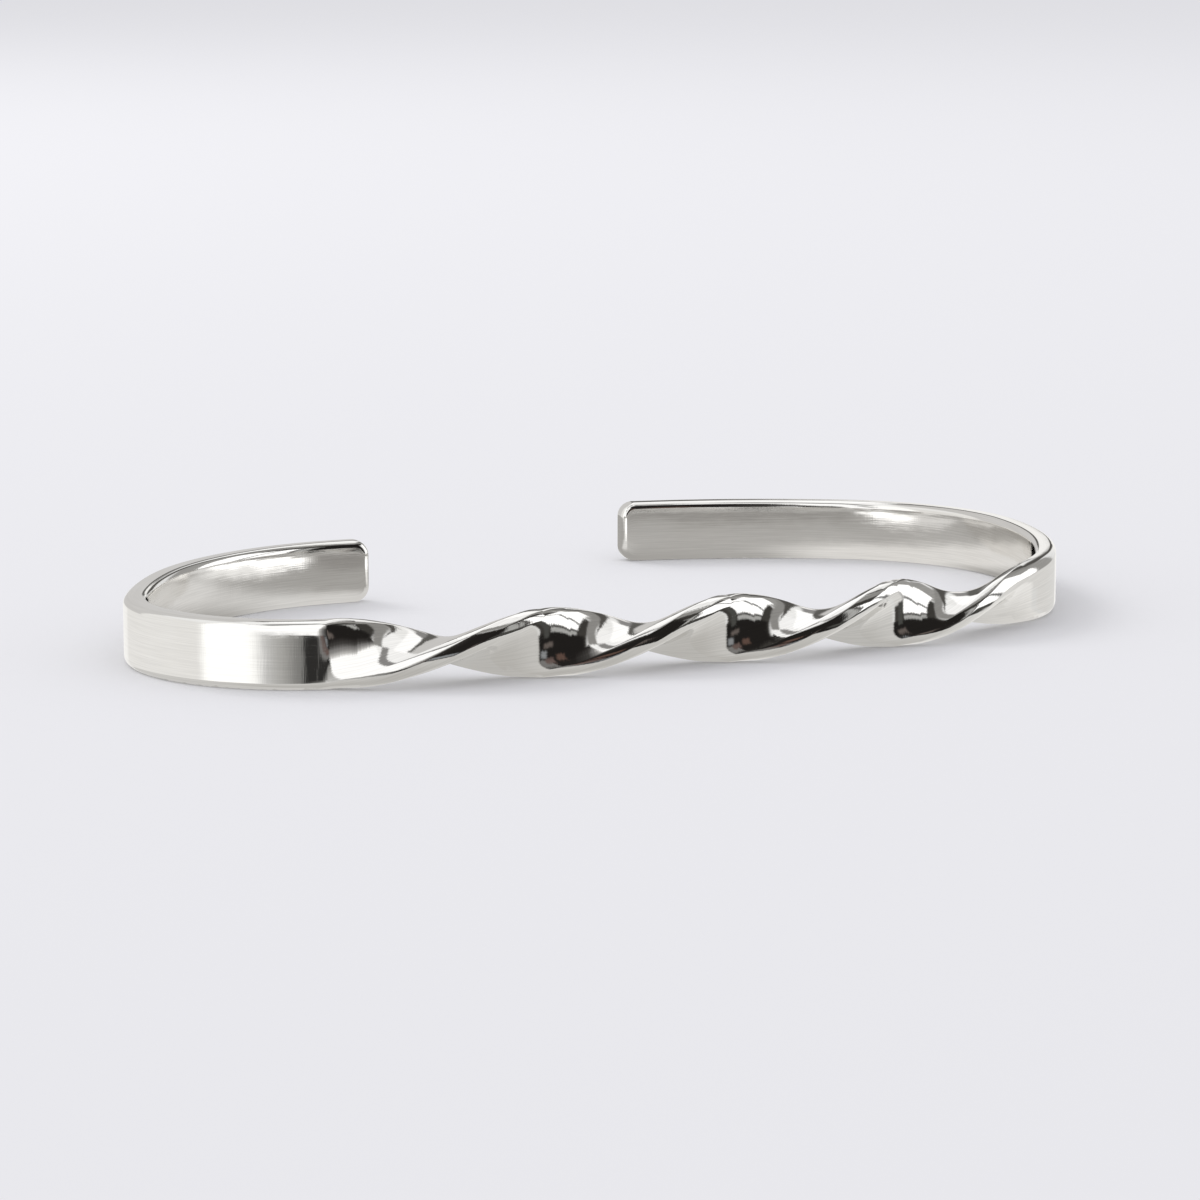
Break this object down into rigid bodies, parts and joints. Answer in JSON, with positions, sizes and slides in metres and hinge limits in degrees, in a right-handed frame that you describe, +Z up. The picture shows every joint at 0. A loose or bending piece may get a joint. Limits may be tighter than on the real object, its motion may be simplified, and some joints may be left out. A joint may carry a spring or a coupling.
{
  "type": "cuff bangle",
  "caption": "Open oval cuff bangle bent from one flat metal strip, with plain arms, rounded tips and a front stretch twisted like a ribbon.",
  "frame": {"origin": "centre of the overall box, on the surface that the cuff lies on", "axes": "+Z up, across the strip's width; +X to the right along the twisted front; +Y back, out through the gap between the tips"},
  "size_m": [0.065, 0.0406, 0.0041],
  "materials": {
    "silver": "mirror polished silver with faint wear"
  },
  "bodies": {
    "root": {"cuff": "silver"}
  },
  "joints": []
}
